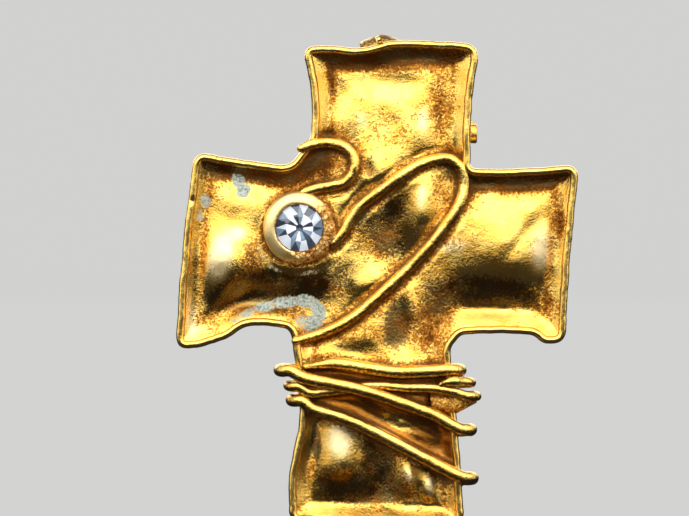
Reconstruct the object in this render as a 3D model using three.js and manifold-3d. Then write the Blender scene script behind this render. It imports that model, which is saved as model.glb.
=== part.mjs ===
// Cross brooch-pendant: a hammered cross with a raised rim, a set stone, two soldered wires,
// two wires bound round the stem, and a bail and a pin fitting on the back.
// Millimetres. +Z is up, the front faces -Y, and the origin is the centre of the bail's hole.
//
// Everything is built in the cross's own frame, where x is across, y is up and z is the height
// above the plate's flat back. One turned group puts that frame upright.
import * as THREE from 'three';
import { mergeVertices } from 'three/addons/utils/BufferGeometryUtils.js';
import Module from 'manifold-3d';

const wasm = await Module();
wasm.setup();

// ---- driving dimensions ----
const GAP = 0.05;                 // soldered pieces stand this far apart
const BACK_Y = -3.85;             // the plate's back, measured from the bail's axis

const RIM_WIDTH = 1.2;
const RIM_HEIGHT = 2.7;
const RIM_BEVEL = 0.35;

const EDGE_HEIGHT = 1.9;          // the plate's front beside the rim
const VALLEY_HEIGHT = 1.3;        // the crease inside the edge
const PILLOW_RISE = 1.2;          // how far the middle of each arm swells out of the crease
const PILLOW_START = 0.9;
const PILLOW_FULL = 7.5;
const EDGE_REACH = 0.8;

const BLANK = { x: -0.5, y: -30, width: 56, height: 68, cell: 2.6 };  // the sheet the plate is cut from
const CUT_DEPTH = 8;

const STONE = { x: -11.0, y: -21.95, radius: 3.1, girdle: 3.3, thickness: 0.12 };
const STONE_TABLE = { radius: 1.7, height: 4.25 };
const STONE_TIP_HEIGHT = 0.75;
const PAD_HEIGHT = 1.95;          // the plate is flat under the collar
const PAD_RADIUS = 5.3;
const PAD_BLEND = 2.2;
const CUP_RADIUS = 3.9;
const CUP_HOLE_RADIUS = 4.0;
const COLLAR_RADIUS = 4.7;

const CURL_RADIUS = 0.7;
const LOOP_RADIUS = 0.75;
const WIRE_LIFT = 0.27;           // clearance of a wire over the faceted relief
const LONG_RADIUS = 0.85;
const SHORT_RADIUS = 0.66;
const FRONT_PASS = 3.68;          // centre height of a binding wire over the front
const BACK_PASS = -0.96;          // and under the back
const TURN_RADIUS = 1.4;

// The barrel swells from its ends to a short straight belly in the middle.
const BAIL = {
  inner: 3.0, outer: 3.8, endOuter: 3.2, halfLength: 2.9, edge: 0.1,
  bellyHalf: 0.44, shoulderHalf: 1.91, shoulderRadius: 3.57,
};

const FOOT_THICKNESS = 0.4;
const PIN = {
  x: -7.0, y: -9.3, z: -1.7, radius: 0.4, start: 0.72, tipX: 12.55, taper: 5.0, tipRadius: 0.07,
};
const EYE = { radius: 1.0, hole: 0.48, thickness: 0.9 };
const EAR = { radius: 1.1, hole: 0.44, thickness: 0.5, spacing: 1.2, footRadius: 1.75 };
const RIVET = { radius: 0.4, length: 2.6 };
const CATCH = {
  footX: 10.35, footRadius: 1.55, outer: 1.3, inner: 0.95, mouth: 80, startX: 10.5, endX: 12.8,
};
const ROLLER = {
  outer: 0.89, inner: 0.55, slot: 35, startX: 10.6, endX: 12.7,
  tabAngle: 35, tabReach: 2.2, tabThickness: 0.5, tabInset: 0.3,
};

// ---- materials ----
function metal(colour, roughness) {
  return new THREE.MeshStandardMaterial({ color: colour, roughness, metalness: 1 });
}

function glass(colour) {
  return new THREE.MeshStandardMaterial({ color: colour, roughness: 0.05, metalness: 0 });
}

function piece(name, geometry, material) {
  const mesh = new THREE.Mesh(geometry, material);
  mesh.name = name;
  return mesh;
}

// ---- booleans ----
function toManifold(source) {
  let geometry = source.clone();
  for (const key of ['normal', 'uv']) geometry.deleteAttribute(key);
  geometry = mergeVertices(geometry, 1e-5);
  return new wasm.Manifold(new wasm.Mesh({
    numProp: 3,
    vertProperties: new Float32Array(geometry.attributes.position.array),
    triVerts: new Uint32Array(geometry.index.array),
  }));
}

function fromManifold(manifold) {
  const mesh = manifold.getMesh();
  const geometry = new THREE.BufferGeometry();
  const positions = new Float32Array(mesh.vertProperties);
  geometry.setAttribute('position', new THREE.BufferAttribute(positions, 3));
  geometry.setIndex(new THREE.BufferAttribute(new Uint32Array(mesh.triVerts), 1));
  geometry.computeVertexNormals();
  return geometry;
}

// ---- outline of the cross, seen from the front ----
// Corners run clockwise from the top left: x, y, how far the rounding reaches along each side,
// and how far the side that follows bulges outwards at its middle.
const CORNERS = [
  [-10.5, 2.4, 1.9, 0.1], [-1.9, 2.0, 2.2, 0], [1.2, 3.15, 1.8, 0.1], [12.9, 2.6, 2.0, -0.3],
  [11.75, -14.0, 0.9, -0.25], [26.3, -13.5, 2.1, -0.2], [24.45, -37.5, 2.0, 0],
  [21.4, -37.4, 0.8, 0], [20.2, -36.25, 0.8, -0.1], [10.6, -36.1, 0.9, 0],
  [9.1, -37.9, 0.9, 0.1], [11.1, -61.9, 2.3, 0.2], [-12.7, -61.3, 2.3, 0.45], [-10.75, -45.8, 3.6, 0],
  [-12.2, -35.4, 1.2, -0.1], [-18.2, -34.9, 1.8, 0], [-21.0, -37.0, 1.8, 0.1],
  [-27.7, -38.5, 2.6, 0.25], [-25.1, -11.8, 2.0, -0.05], [-12.3, -13.7, 1.5, 0],
  [-9.3, -9.7, 1.5, -0.35],
];
const OUTLINE_POINTS = 120;

function crossOutline() {
  const shape = new THREE.Shape();
  const corner = (i) => new THREE.Vector2(...CORNERS[(i + CORNERS.length) % CORNERS.length]);
  const reach = (i) => CORNERS[(i + CORNERS.length) % CORNERS.length][2];
  const towards = (from, to, distance) =>
    from.clone().add(to.clone().sub(from).setLength(distance));
  CORNERS.forEach(([, , , bulge], i) => {
    const here = corner(i);
    const next = corner(i + 1);
    const start = towards(here, next, reach(i));
    const end = towards(next, here, reach(i + 1));
    const side = end.clone().sub(start);
    const outward = new THREE.Vector2(-side.y, side.x).normalize();
    const middle = start.clone().add(end).multiplyScalar(0.5).addScaledVector(outward, 2 * bulge);
    if (i === 0) shape.moveTo(start.x, start.y);
    shape.quadraticCurveTo(middle.x, middle.y, end.x, end.y);
    const after = towards(next, corner(i + 2), reach(i + 1));
    shape.quadraticCurveTo(next.x, next.y, after.x, after.y);
  });
  return shape.getSpacedPoints(OUTLINE_POINTS).slice(0, OUTLINE_POINTS);
}

const OUTLINE = crossOutline();

// The outline moved inwards by a distance. It runs clockwise, so inwards is to its right.
function insetOutline(distance) {
  return OUTLINE.map((point, i) => {
    const before = OUTLINE[(i + OUTLINE.length - 1) % OUTLINE.length];
    const after = OUTLINE[(i + 1) % OUTLINE.length];
    const along = after.clone().sub(before).normalize();
    return new THREE.Vector2(point.x + along.y * distance, point.y - along.x * distance);
  });
}

const PLATE_EDGE = insetOutline(RIM_WIDTH + GAP);

function distanceTo(polygon, x, y) {
  let nearest = Infinity;
  polygon.forEach((a, i) => {
    const b = polygon[(i + 1) % polygon.length];
    const side = b.clone().sub(a);
    const t = THREE.MathUtils.clamp(((x - a.x) * side.x + (y - a.y) * side.y) / side.lengthSq(), 0, 1);
    nearest = Math.min(nearest, Math.hypot(x - a.x - t * side.x, y - a.y - t * side.y));
  });
  return nearest;
}

function isInside(polygon, x, y) {
  let inside = false;
  polygon.forEach((a, i) => {
    const b = polygon[(i + 1) % polygon.length];
    const crosses = (a.y > y) !== (b.y > y);
    if (crosses && x < a.x + ((y - a.y) / (b.y - a.y)) * (b.x - a.x)) inside = !inside;
  });
  return inside;
}

// ---- height of the plate's front above its back ----
function plateHeight(x, y) {
  const depth = isInside(PLATE_EDGE, x, y) ? distanceTo(PLATE_EDGE, x, y) : 0;
  const edge = (EDGE_HEIGHT - VALLEY_HEIGHT) * Math.exp(-((depth / EDGE_REACH) ** 2));
  const pillow = PILLOW_RISE * THREE.MathUtils.smoothstep(depth, PILLOW_START, PILLOW_FULL);
  const open = VALLEY_HEIGHT + edge + pillow;
  const fromStone = Math.hypot(x - STONE.x, y - STONE.y);
  const pad = 1 - THREE.MathUtils.smoothstep(fromStone, PAD_RADIUS, PAD_RADIUS + PAD_BLEND);
  return THREE.MathUtils.lerp(open, PAD_HEIGHT, pad);
}

function surfaceHeight(x, y) {
  const onRim = !isInside(PLATE_EDGE, x, y) || distanceTo(PLATE_EDGE, x, y) < GAP;
  return onRim ? RIM_HEIGHT : plateHeight(x, y);
}

// ---- cross body ----
function extruded(points, depth, options = { bevelEnabled: false }) {
  return new THREE.ExtrudeGeometry(new THREE.Shape(points), { depth, ...options });
}

function crossPlate() {
  const { width, height, cell } = BLANK;
  const across = Math.round(width / cell);
  const up = Math.round(height / cell);
  const slab = new THREE.BoxGeometry(width, height, 1, across, up, 1).translate(BLANK.x, BLANK.y, 0);
  const position = slab.attributes.position;
  for (let i = 0; i < position.count; i += 1) {
    const front = position.getZ(i) > 0;
    position.setZ(i, front ? plateHeight(position.getX(i), position.getY(i)) : -1);
  }
  const cutter = extruded(PLATE_EDGE, CUT_DEPTH);
  const hole = new THREE.CylinderGeometry(CUP_HOLE_RADIUS, CUP_HOLE_RADIUS, CUT_DEPTH, 24);
  hole.rotateX(Math.PI / 2).translate(STONE.x, STONE.y, 0);
  return fromManifold(toManifold(slab).intersect(toManifold(cutter)).subtract(toManifold(hole)));
}

// A bevelled slab of the whole outline, opened by the plate's space and by a chamfer inside its top.
function rimBorder() {
  const bevel = { bevelThickness: RIM_BEVEL, bevelSize: RIM_BEVEL, bevelSegments: 1 };
  const slab = extruded(OUTLINE, RIM_HEIGHT - 2 * RIM_BEVEL, { ...bevel, bevelOffset: -RIM_BEVEL });
  const inside = insetOutline(RIM_WIDTH);
  const space = extruded(inside, RIM_HEIGHT + 2).translate(0, 0, -1);
  const chamfer = extruded(inside, 1, bevel).translate(0, 0, RIM_HEIGHT);
  return fromManifold(toManifold(slab.translate(0, 0, RIM_BEVEL))
    .subtract(toManifold(space)).subtract(toManifold(chamfer)));
}

// ---- stone and its setting ----
function lathe(profile, segments) {
  const points = profile.map(([radius, height]) => new THREE.Vector2(radius, height));
  return new THREE.LatheGeometry(points, segments).rotateX(Math.PI / 2);
}

function stoneCup() {
  const profile = [
    [0, 0.1], [CUP_RADIUS, 0.1], [CUP_RADIUS, 2.35], [COLLAR_RADIUS, 2.35], [COLLAR_RADIUS, 2.95],
    [4.45, 3.45], [4.0, 3.72], [3.55, 3.7], [3.28, 3.45], [3.22, 3.15], [0.55, 0.5], [0, 0.5],
  ];
  return lathe(profile, 28).translate(STONE.x, STONE.y, 0);
}

function glassStone() {
  const profile = [
    [0, STONE_TIP_HEIGHT], [STONE.radius, STONE.girdle], [STONE.radius, STONE.girdle + STONE.thickness],
    [STONE_TABLE.radius, STONE_TABLE.height], [0, STONE_TABLE.height],
  ];
  return lathe(profile, 16).translate(STONE.x, STONE.y, 0);
}

// ---- wires ----
function sweptWire(points, radius, steps) {
  const section = new THREE.Shape();
  section.absarc(0, 0, radius, 0, 2 * Math.PI);
  return new THREE.ExtrudeGeometry(section, {
    steps, curveSegments: 4, bevelEnabled: false, extrudePath: new THREE.CatmullRomCurve3(points),
  });
}

// Centre height of a round wire that lies on the front at one place.
function restHeight(x, y, radius) {
  let height = surfaceHeight(x, y) + radius;
  for (const reach of [0.4 * radius, 0.75 * radius]) {
    const lift = Math.sqrt(radius ** 2 - reach ** 2);
    for (let turn = 0; turn < 8; turn += 1) {
      const angle = (turn * Math.PI) / 4;
      const side = surfaceHeight(x + reach * Math.cos(angle), y + reach * Math.sin(angle));
      height = Math.max(height, side + lift);
    }
  }
  return height + WIRE_LIFT;
}

function laidWire(path, radius, samples, steps) {
  const flat = new THREE.CatmullRomCurve3(path.map(([x, y]) => new THREE.Vector3(x, y, 0)));
  const laid = flat.getSpacedPoints(samples);
  laid.forEach((point) => { point.z = restHeight(point.x, point.y, radius); });
  return sweptWire(laid, radius, steps);
}

function curlWire() {
  const path = [
    [-10.5, -11.2], [-8.9, -10.75], [-6.7, -10.65], [-4.8, -11.3], [-3.7, -12.8], [-3.85, -14.6],
    [-5.0, -15.9], [-6.9, -16.35], [-9.0, -16.35],
  ];
  return laidWire(path, CURL_RADIUS, 14, 24);
}

function loopWire() {
  const path = [
    [-5.25, -22.7], [-4.3, -21.0], [-3.0, -19.2], [0.4, -16.6], [3.8, -14.2], [6.6, -12.95],
    [8.9, -12.75], [10.35, -13.7], [10.95, -15.4], [10.7, -17.8], [8.6, -21.5], [5.2, -25.7],
    [1.0, -29.7], [-3.6, -33.7], [-7.6, -35.9], [-11.0, -36.95],
  ];
  return laidWire(path, LOOP_RADIUS, 26, 48);
}

// A half turn of a binding wire round one edge of the stem, from the front to the back or the reverse.
function edgeTurn(edgeX, yStart, yEnd, toBack) {
  const side = Math.sign(edgeX);
  const cut = TURN_RADIUS * (1 - Math.SQRT1_2);
  const stations = [
    [TURN_RADIUS, FRONT_PASS], [cut, FRONT_PASS - cut], [0, FRONT_PASS - TURN_RADIUS],
    [0, BACK_PASS + TURN_RADIUS], [cut, BACK_PASS + cut], [TURN_RADIUS, BACK_PASS],
  ];
  if (!toBack) stations.reverse();
  return stations.map(([inward, z], i) =>
    new THREE.Vector3(edgeX - side * inward, THREE.MathUtils.lerp(yStart, yEnd, i / 5), z));
}

function frontPass(points) {
  return points.map(([x, y, lift = 0]) => new THREE.Vector3(x, y, FRONT_PASS + lift));
}

function bindingWireLong() {
  return sweptWire([
    ...frontPass([[-10.1, -40.45, -0.4], [-8.4, -40.2], [-6.4, -40.0], [-1.9, -40.6], [2.1, -41.1],
      [6.8, -40.95]]),
    ...edgeTurn(10.4, -40.85, -41.1, true),
    ...edgeTurn(-13.6, -41.0, -40.95, false),
    ...frontPass([[-10.5, -41.8, 0.35], [-7.4, -42.45, 1.0], [-5.3, -42.85, 1.3], [-3.1, -43.35, 1.35],
      [-1.1, -43.95, 1.05], [0.8, -44.6, 0.45], [6.9, -46.85]]),
    ...edgeTurn(11.85, -48.75, -49.2, true),
    ...edgeTurn(-12.0, -45.0, -44.95, false),
    ...frontPass([[-9.4, -45.9], [-5.3, -47.2], [-1.5, -48.85], [5.3, -52.4]]),
    ...edgeTurn(12.05, -55.1, -55.8, true),
    new THREE.Vector3(8.8, -56.7, BACK_PASS),
  ], LONG_RADIUS, 132);
}

function bindingWireShort() {
  return sweptWire([
    ...frontPass([[8.3, -42.4, 0.75], [9.6, -42.3, 0.6]]),
    ...edgeTurn(11.85, -42.4, -42.9, true),
    ...edgeTurn(-12.45, -42.95, -43.1, false),
    ...frontPass([[-9.8, -43.85, -0.15], [-7.5, -43.75, -0.3], [-4.9, -43.4, -0.3], [-1.2, -42.95, -0.3],
      [3.0, -43.2, -0.3], [6.9, -43.3, -0.15], [9.6, -43.75]]),
    ...edgeTurn(12.6, -44.3, -44.6, true),
    new THREE.Vector3(8.4, -44.9, BACK_PASS),
  ], SHORT_RADIUS, 66);
}

// ---- bail ----
function bailBarrel() {
  const rim = BAIL.endOuter;
  const end = BAIL.halfLength;
  const wall = [
    [BAIL.inner + BAIL.edge, -end], [rim, -end], [BAIL.shoulderRadius, -BAIL.shoulderHalf],
    [BAIL.outer, -BAIL.bellyHalf], [BAIL.outer, BAIL.bellyHalf], [BAIL.shoulderRadius, BAIL.shoulderHalf],
    [rim, end], [BAIL.inner + BAIL.edge, end], [BAIL.inner, end - BAIL.edge],
    [BAIL.inner, BAIL.edge - end], [BAIL.inner + BAIL.edge, -end],
  ];
  const points = wall.map(([radius, along]) => new THREE.Vector2(radius, along));
  return new THREE.LatheGeometry(points, 24).rotateZ(Math.PI / 2).translate(0, 0, BACK_Y);
}

// ---- pin fitting on the back ----
function footDisc(x, radius) {
  const disc = new THREE.CylinderGeometry(radius, radius, FOOT_THICKNESS, 20);
  return disc.rotateX(Math.PI / 2).translate(x, PIN.y, -FOOT_THICKNESS / 2 - GAP);
}

function hinge() {
  const tab = new THREE.Shape();
  tab.moveTo(-EAR.radius, FOOT_THICKNESS / 2);
  tab.lineTo(EAR.radius, FOOT_THICKNESS / 2);
  tab.lineTo(EAR.radius, -PIN.z);
  tab.absarc(0, -PIN.z, EAR.radius, 0, Math.PI);
  tab.closePath();
  tab.holes.push(new THREE.Path().absarc(0, -PIN.z, EAR.hole, 0, 2 * Math.PI));
  const options = { depth: EAR.thickness, bevelEnabled: false, curveSegments: 8 };
  const ear = (y) => new THREE.ExtrudeGeometry(tab, options)
    .rotateX(-Math.PI / 2).translate(PIN.x, PIN.y + y, 0);
  return fromManifold(toManifold(footDisc(PIN.x, EAR.footRadius))
    .add(toManifold(ear(EAR.spacing / 2)))
    .add(toManifold(ear(-EAR.spacing / 2 - EAR.thickness))));
}

function hingeRivet() {
  return new THREE.CylinderGeometry(RIVET.radius, RIVET.radius, RIVET.length, 16)
    .translate(PIN.x, PIN.y, PIN.z);
}

function pinStem() {
  const ring = new THREE.Shape().absarc(0, 0, EYE.radius, 0, 2 * Math.PI);
  ring.holes.push(new THREE.Path().absarc(0, 0, EYE.hole, 0, 2 * Math.PI));
  const eye = new THREE.ExtrudeGeometry(ring, { depth: EYE.thickness, bevelEnabled: false, curveSegments: 9 })
    .rotateX(-Math.PI / 2).translate(0, -EYE.thickness / 2, 0);
  const length = PIN.tipX - PIN.x;
  const profile = [
    [0, PIN.start], [PIN.radius, PIN.start], [PIN.radius, length - PIN.taper],
    [PIN.tipRadius, length], [0, length],
  ].map(([radius, along]) => new THREE.Vector2(radius, along));
  const stem = new THREE.LatheGeometry(profile, 12).rotateZ(-Math.PI / 2);
  return fromManifold(toManifold(eye).add(toManifold(stem))).translate(PIN.x, PIN.y, PIN.z);
}

// An open ring round the pin's line: its mouth faces away from the plate.
function openRing(outer, inner, halfMouth, startX, endX) {
  const from = THREE.MathUtils.degToRad(90 + halfMouth);
  const to = THREE.MathUtils.degToRad(450 - halfMouth);
  const shape = new THREE.Shape();
  shape.absarc(0, 0, outer, from, to, false);
  shape.absarc(0, 0, inner, to, from, true);
  shape.closePath();
  return new THREE.ExtrudeGeometry(shape, { depth: endX - startX, bevelEnabled: false, curveSegments: 9 })
    .rotateX(-Math.PI / 2).rotateZ(Math.PI / 2).translate(endX, PIN.y, PIN.z);
}

function catchHousing() {
  const ring = openRing(CATCH.outer, CATCH.inner, CATCH.mouth, CATCH.startX, CATCH.endX);
  return fromManifold(toManifold(footDisc(CATCH.footX, CATCH.footRadius)).add(toManifold(ring)));
}

function catchRoller() {
  const ring = openRing(ROLLER.outer, ROLLER.inner, ROLLER.slot, ROLLER.startX, ROLLER.endX);
  const root = (ROLLER.inner + ROLLER.outer) / 2;
  const length = ROLLER.endX - ROLLER.startX - 2 * ROLLER.tabInset;
  const tab = new THREE.BoxGeometry(length, ROLLER.tabReach - root, ROLLER.tabThickness);
  tab.translate(0, (ROLLER.tabReach + root) / 2, 0);
  tab.rotateX(-THREE.MathUtils.degToRad(ROLLER.tabAngle));
  tab.translate((ROLLER.startX + ROLLER.endX) / 2, PIN.y, PIN.z);
  return fromManifold(toManifold(ring).add(toManifold(tab)));
}

// ---- assembly ----
const body = new THREE.Group();
body.name = 'cross_frame';
body.rotation.x = Math.PI / 2;
body.position.y = BACK_Y;
body.add(
  piece('cross_plate', crossPlate(), metal(0xcf9a3c, 0.38)),
  piece('rim_border', rimBorder(), metal(0xe3b558, 0.3)),
  piece('stone_cup', stoneCup(), metal(0xe0b050, 0.3)),
  piece('glass_stone', glassStone(), glass(0xdfe6ee)),
  piece('curl_wire', curlWire(), metal(0xe6bb60, 0.3)),
  piece('loop_wire', loopWire(), metal(0xe6ba5e, 0.3)),
  piece('binding_wire_long', bindingWireLong(), metal(0xe7bc62, 0.3)),
  piece('binding_wire_short', bindingWireShort(), metal(0xe4b85c, 0.32)),
  piece('bail_barrel', bailBarrel(), metal(0xd9a94c, 0.32)),
  piece('hinge_base', hinge(), metal(0xd6a64a, 0.34)),
  piece('hinge_rivet', hingeRivet(), metal(0xc99a44, 0.34)),
  piece('pin_stem', pinStem(), metal(0xd8c9a2, 0.28)),
  piece('catch_housing', catchHousing(), metal(0xd5a548, 0.34)),
  piece('catch_roller', catchRoller(), metal(0xd9ac52, 0.34)),
);

const cross = new THREE.Group();
cross.name = 'cross';
cross.add(body);
export default cross;
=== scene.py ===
"""Looks of the cross brooch-pendant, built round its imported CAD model."""
import math

import bpy
import numpy as np
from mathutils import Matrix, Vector


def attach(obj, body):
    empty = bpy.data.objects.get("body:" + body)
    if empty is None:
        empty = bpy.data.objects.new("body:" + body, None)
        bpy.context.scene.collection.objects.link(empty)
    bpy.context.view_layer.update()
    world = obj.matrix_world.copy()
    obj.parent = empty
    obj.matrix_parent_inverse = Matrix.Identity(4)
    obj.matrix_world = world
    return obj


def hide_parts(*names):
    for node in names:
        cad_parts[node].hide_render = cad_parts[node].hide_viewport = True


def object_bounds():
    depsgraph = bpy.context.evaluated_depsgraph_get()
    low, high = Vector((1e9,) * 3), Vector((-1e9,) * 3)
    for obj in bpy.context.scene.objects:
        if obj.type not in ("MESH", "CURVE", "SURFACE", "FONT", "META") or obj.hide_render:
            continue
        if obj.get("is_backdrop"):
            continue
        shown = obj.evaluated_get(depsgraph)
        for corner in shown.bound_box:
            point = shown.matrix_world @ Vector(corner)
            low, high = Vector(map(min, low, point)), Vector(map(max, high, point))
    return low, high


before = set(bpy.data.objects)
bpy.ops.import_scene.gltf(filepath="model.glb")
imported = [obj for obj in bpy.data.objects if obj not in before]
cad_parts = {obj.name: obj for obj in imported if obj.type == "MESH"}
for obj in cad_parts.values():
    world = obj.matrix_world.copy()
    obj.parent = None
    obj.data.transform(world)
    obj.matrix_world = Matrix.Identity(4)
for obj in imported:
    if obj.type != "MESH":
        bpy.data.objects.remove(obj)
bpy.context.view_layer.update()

# Pieces are shaped in the cross's own frame, in millimetres: x across, y up, and z the height
# above the plate's flat back, which stands this far behind the bail's axis.
BACK_Y = -3.85
MM = 0.001
SPLINE_STEPS, TUBE_SIDES = 14, 22


# ---- numbers and noise
def smooth(value, low, high):
    t = np.clip((value - low) / (high - low), 0.0, 1.0)
    return t * t * (3.0 - 2.0 * t)


def corner_values(cells, seed):
    """Random numbers from -1 to 1, one for each cell, the same on every run."""
    n = (cells[..., 0] * 73856093) ^ (cells[..., 1] * 19349663) ^ (cells[..., 2] * 83492791)
    n = (n + seed * 2654435761) & 0xFFFFFFFF
    n = ((n >> 16) ^ n) * 0x45D9F3B & 0xFFFFFFFF
    n = ((n >> 16) ^ n) * 0x45D9F3B & 0xFFFFFFFF
    return (((n >> 16) ^ n) & 0xFFFF) / 32767.5 - 1.0


def noise(points, cell, seed):
    """Smooth noise from -1 to 1 with features about one cell across."""
    p = np.asarray(points, float) / cell
    base = np.floor(p).astype(np.int64)
    f = p - base
    f = f * f * (3.0 - 2.0 * f)
    total = 0.0
    for corner in np.ndindex(2, 2, 2):
        w = np.where(corner, f, 1 - f)
        total = total + w[..., 0] * w[..., 1] * w[..., 2] * corner_values(base + corner, seed)
    return total


def octaves(points, cell, seed):
    return sum(noise(points, cell / 2**i, seed + i) * 0.55**i for i in range(3))


def flat_points(x, y):
    return np.stack([x, y, np.zeros_like(x)], -1)


def bell(value, width):
    return np.exp(-((value / width) ** 2))


def hump(reach):
    """Weights of a rounded average over a point and its neighbours up to reach away."""
    weights = np.hanning(2 * reach + 3)[1:-1]
    return weights / weights.sum()


def lengths(vectors):
    return np.linalg.norm(vectors, axis=1)[:, None]


def circle(count):
    return np.linspace(0, 2 * math.pi, count, endpoint=False)


# ---- meshes
def added(name, data):
    obj = bpy.data.objects.new(name, data)
    bpy.context.scene.collection.objects.link(obj)
    return obj


def build(name, points, faces, materials, replaces, body="cross", marks=None, shades=None):
    """A mesh from local points in millimetres. faces is a list of arrays whose rows are corners."""
    points = np.asarray(points, float)
    world = np.stack([points[:, 0], BACK_Y - points[:, 2], points[:, 1]], -1) * MM
    volume = sum((world[g[:, 0]] * np.cross(world[g[:, k]], world[g[:, k + 1]])).sum()
                 for g in faces for k in range(1, g.shape[1] - 1))
    if volume < 0:
        faces = [g[:, ::-1] for g in faces]
    corners = np.concatenate([g.ravel() for g in faces]).astype(np.int32)
    sizes = np.concatenate([np.full(len(g), g.shape[1]) for g in faces]).astype(np.int32)
    mesh = bpy.data.meshes.new(name)
    mesh.vertices.add(len(world))
    mesh.vertices.foreach_set("co", world.astype(np.float32).ravel())
    mesh.loops.add(len(corners))
    mesh.loops.foreach_set("vertex_index", corners)
    mesh.polygons.add(len(sizes))
    mesh.polygons.foreach_set("loop_start", (np.cumsum(sizes) - sizes).astype(np.int32))
    mesh.update(calc_edges=True)
    mesh.validate()
    for material in materials:
        mesh.materials.append(material)
    if shades:
        mesh.polygons.foreach_set("material_index", np.asarray(shades, np.int32))
    mesh.polygons.foreach_set("use_smooth", np.full(len(mesh.polygons), not shades))
    for key, values in (marks or {}).items():
        layer = mesh.attributes.new(key, "FLOAT", "POINT")
        layer.data.foreach_set("value", np.asarray(values, np.float32))
    obj = added(name, mesh)
    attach(obj, body)
    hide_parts(replaces)


def grid_faces(rows, columns, close_rows=False, close_columns=False):
    """Quads over a grid of points stored row by row."""
    row = np.arange(rows if close_rows else rows - 1)
    here = np.arange(columns if close_columns else columns - 1)
    row, here = np.meshgrid(row, here, indexing="ij")
    after, below = (here + 1) % columns, (row + 1) % rows * columns
    row = row * columns
    return np.stack([row + here, row + after, below + after, below + here], -1).reshape(-1, 4)


def resample(line, step, closed=False):
    """Evenly spaced points along a polyline."""
    line = np.asarray(line, float)
    if closed:
        line = np.vstack([line, line[:1]])
    along = np.concatenate([[0], np.cumsum(np.linalg.norm(np.diff(line, axis=0), axis=1))])
    count = max(2, int(round(along[-1] / step)) + 1)
    at = np.linspace(0, along[-1], count)
    out = np.stack([np.interp(at, along, line[:, k]) for k in range(line.shape[1])], -1)
    return out[:-1] if closed else out


def between(a, b, at_a, at_b, t):
    return (at_b - t) / (at_b - at_a) * a + (t - at_a) / (at_b - at_a) * b


def spline(points):
    """A smooth curve through the points, with knots spaced as in a centripetal Catmull-Rom curve."""
    p = np.asarray(points, float)
    p = np.vstack([2 * p[0] - p[1], p, 2 * p[-1] - p[-2]])
    out = []
    for p0, p1, p2, p3 in zip(p, p[1:], p[2:], p[3:]):
        t1 = np.sqrt(np.linalg.norm(p1 - p0))
        t2 = t1 + np.sqrt(np.linalg.norm(p2 - p1))
        t3 = t2 + np.sqrt(np.linalg.norm(p3 - p2))
        t = np.linspace(t1, t2, SPLINE_STEPS, endpoint=False)[:, None]
        middle = between(p1, p2, t1, t2, t)
        start = between(between(p0, p1, 0, t1, t), middle, 0, t2, t)
        end = between(middle, between(p2, p3, t2, t3, t), t1, t3, t)
        out.append(between(start, end, t1, t2, t))
    return np.vstack([*out, p[-2:-1]])


# ---- the outline, as in the CAD
# x, y, reach of the rounding, bulge of the side that follows
CORNERS = [
    (-10.5, 2.4, 1.9, 0.1), (-1.9, 2, 2.2, 0), (1.2, 3.15, 1.8, 0.1), (12.9, 2.6, 2, -0.3),
    (11.75, -14, 0.9, -0.25), (26.3, -13.5, 2.1, -0.2), (24.45, -37.5, 2, 0), (21.4, -37.4, 0.8, 0),
    (20.2, -36.25, 0.8, -0.1), (10.6, -36.1, 0.9, 0), (9.1, -37.9, 0.9, 0.1), (11.1, -61.9, 2.3, 0.2),
    (-12.7, -61.3, 2.3, 0.45), (-10.75, -45.8, 3.6, 0), (-12.2, -35.4, 1.2, -0.1), (-18.2, -34.9, 1.8, 0),
    (-21, -37, 1.8, 0.1), (-27.7, -38.5, 2.6, 0.25), (-25.1, -11.8, 2, -0.05), (-12.3, -13.7, 1.5, 0),
    (-9.3, -9.7, 1.5, -0.35),
]


def cross_outline(step):
    t = np.linspace(0, 1, 24, endpoint=False)[:, None]

    def towards(a, b, distance):
        return a + (b - a) / np.linalg.norm(b - a) * distance

    def quadratic(a, b, c):
        return (1 - t) ** 2 * a + 2 * t * (1 - t) * b + t**2 * c

    line = []
    corners = np.array(CORNERS)
    for first, second, third in zip(corners, np.roll(corners, -1, 0), np.roll(corners, -2, 0)):
        here, corner, beyond = first[:2], second[:2], third[:2]
        start, end = towards(here, corner, first[2]), towards(corner, here, second[2])
        side = (end - start) / np.linalg.norm(end - start)
        outward = np.array([-side[1], side[0]])
        line += [quadratic(start, (start + end) / 2 + outward * 2 * first[3], end),
                 quadratic(end, corner, towards(corner, beyond, second[2]))]
    return resample(np.vstack(line), step, closed=True)


def inward_normals(line, reach):
    along = np.roll(line, -reach, 0) - np.roll(line, reach, 0)
    along /= lengths(along)
    return np.stack([along[:, 1], -along[:, 0]], -1)


CHUNK = 6000        # points measured at a time


def nearest_on(line, x, y, closed=True, used=None):
    """Distance from each point to a polyline, and the number of the nearest segment."""
    a = line if closed else line[:-1]
    b = np.roll(line, -1, 0) if closed else line[1:]
    if used is not None:
        a, b = a[used], b[used]
    side = b - a
    length2 = (side**2).sum(1)
    best, index = np.empty(len(x)), np.empty(len(x), int)
    for few in np.array_split(np.arange(len(x)), len(x) // CHUNK + 1):
        px, py = x[few, None] - a[:, 0], y[few, None] - a[:, 1]
        t = np.clip((px * side[:, 0] + py * side[:, 1]) / length2, 0, 1)
        d2 = (px - t * side[:, 0]) ** 2 + (py - t * side[:, 1]) ** 2
        index[few] = d2.argmin(1)
        best[few] = np.sqrt(d2.min(1))
    return best, index


def inside(line, x, y):
    odd = np.zeros(len(x), bool)
    for (ax, ay), (bx, by) in zip(line, np.roll(line, -1, 0)):
        if ay != by:
            crosses = (ay > y) != (by > y)
            odd ^= crosses & (x < ax + (y - ay) / (by - ay) * (bx - ax))
    return odd


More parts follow.
